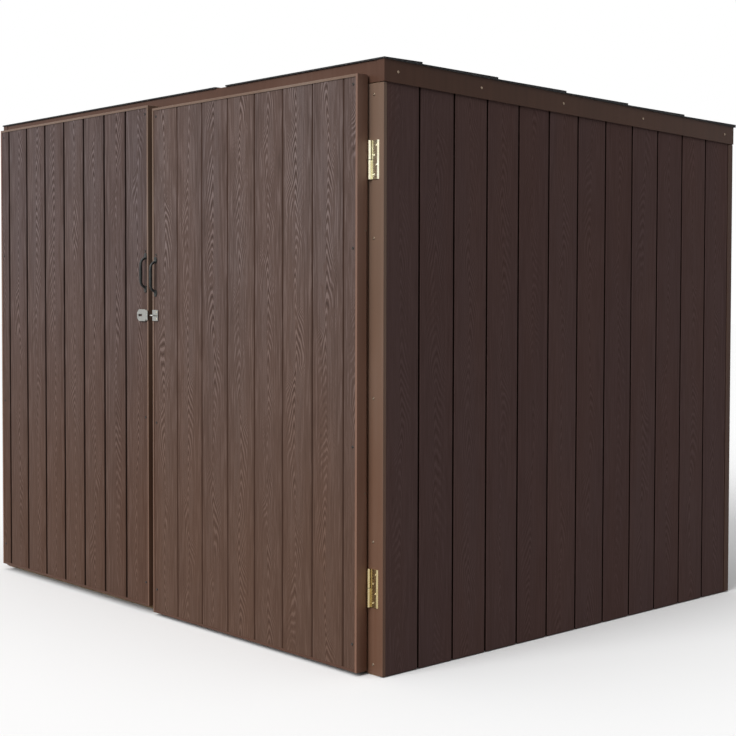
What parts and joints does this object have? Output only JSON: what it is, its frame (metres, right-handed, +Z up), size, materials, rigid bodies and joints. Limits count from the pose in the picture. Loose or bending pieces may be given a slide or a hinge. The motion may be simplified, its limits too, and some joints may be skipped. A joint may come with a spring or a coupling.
{
  "type": "bike storage shed",
  "caption": "Lean-to bike shed of dark brown boards with a low shingled roof and a pair of overlay doors that swing on lift-off hinges and close with a hasp.",
  "frame": {"origin": "on the ground, at the centre of the four anchor holes, midway between the side walls and midway from the front trim to the back wall", "axes": "+X to the right along the front, +Y from the doors to the back wall, +Z up"},
  "size_m": [2.092, 1.6571, 1.6235],
  "materials": {
    "boards": "matt wood-plastic composite with embossed grain",
    "brown_trim": "brown powder coat, satin",
    "timber": "sawn softwood",
    "deck": "plain sheathing board",
    "shingles": "bitumen with mineral granules",
    "brass": "bright brass plate",
    "black_iron": "black paint, semi-gloss",
    "zinc": "dull zinc plate",
    "screw_steel": "zinc plate"
  },
  "bodies": {
    "shed": {"back_trim_left": "brown_trim", "back_trim_right": "brown_trim", "base_rail_back": "timber", "base_rail_front": "timber", "base_rail_left": "timber", "base_rail_right": "timber", "fascia_back": "brown_trim", "fascia_front": "brown_trim", "fascia_left": "brown_trim", "fascia_right": "brown_trim", "frame_screws": "screw_steel", "front_trim_left": "brown_trim", "front_trim_right": "brown_trim", "hinge_pins": "brass", "left_lower_hinge_post_leaf": "brass", "left_upper_hinge_post_leaf": "brass", "middle_rail_back": "timber", "middle_rail_left": "timber", "middle_rail_right": "timber", "post_back_left": "timber", "post_back_right": "timber", "post_front_left": "timber", "post_front_right": "timber", "rafter_left": "timber", "rafter_right": "timber", "right_lower_hinge_post_leaf": "brass", "right_upper_hinge_post_leaf": "brass", "roof_deck": "deck", "roof_shingles": "shingles", "top_rail_back": "timber", "top_rail_front": "timber", "top_rail_left": "timber", "top_rail_right": "timber", "wall_boards_back": "boards", "wall_boards_left": "boards", "wall_boards_right": "boards"},
    "left_door": {"hasp_leaf": "zinc", "hasp_pin": "zinc", "left_door_boards": "boards", "left_door_bottom_channel": "brown_trim", "left_door_hinge_stile": "brown_trim", "left_door_ledges": "timber", "left_door_meeting_stile": "brown_trim", "left_door_screws": "screw_steel", "left_door_top_channel": "brown_trim", "left_handle": "black_iron", "left_lower_hinge_door_leaf": "brass", "left_upper_hinge_door_leaf": "brass"},
    "right_door": {"right_door_boards": "boards", "right_door_bottom_channel": "brown_trim", "right_door_hinge_stile": "brown_trim", "right_door_ledges": "timber", "right_door_meeting_stile": "brown_trim", "right_door_screws": "screw_steel", "right_door_top_channel": "brown_trim", "right_handle": "black_iron", "right_lower_hinge_door_leaf": "brass", "right_upper_hinge_door_leaf": "brass", "staple": "zinc"},
    "hasp_strap": {"hasp_strap": "zinc"}
  },
  "joints": [
    {"name": "right_door_swing", "type": "hinge", "parent": "shed", "child": "right_door", "pos_m": [0.9904, -0.7952, 0], "axis": [0, 0, 1], "range_deg": [0, 100]},
    {"name": "left_door_swing", "type": "hinge", "parent": "shed", "child": "left_door", "pos_m": [-0.9904, -0.7952, 0], "axis": [0, 0, -1], "range_deg": [0, 100]},
    {"name": "hasp_swing", "type": "hinge", "parent": "left_door", "child": "hasp_strap", "pos_m": [-0.013, -0.8363, 0.94], "axis": [0, 0, 1], "range_deg": [0, 180]}
  ]
}
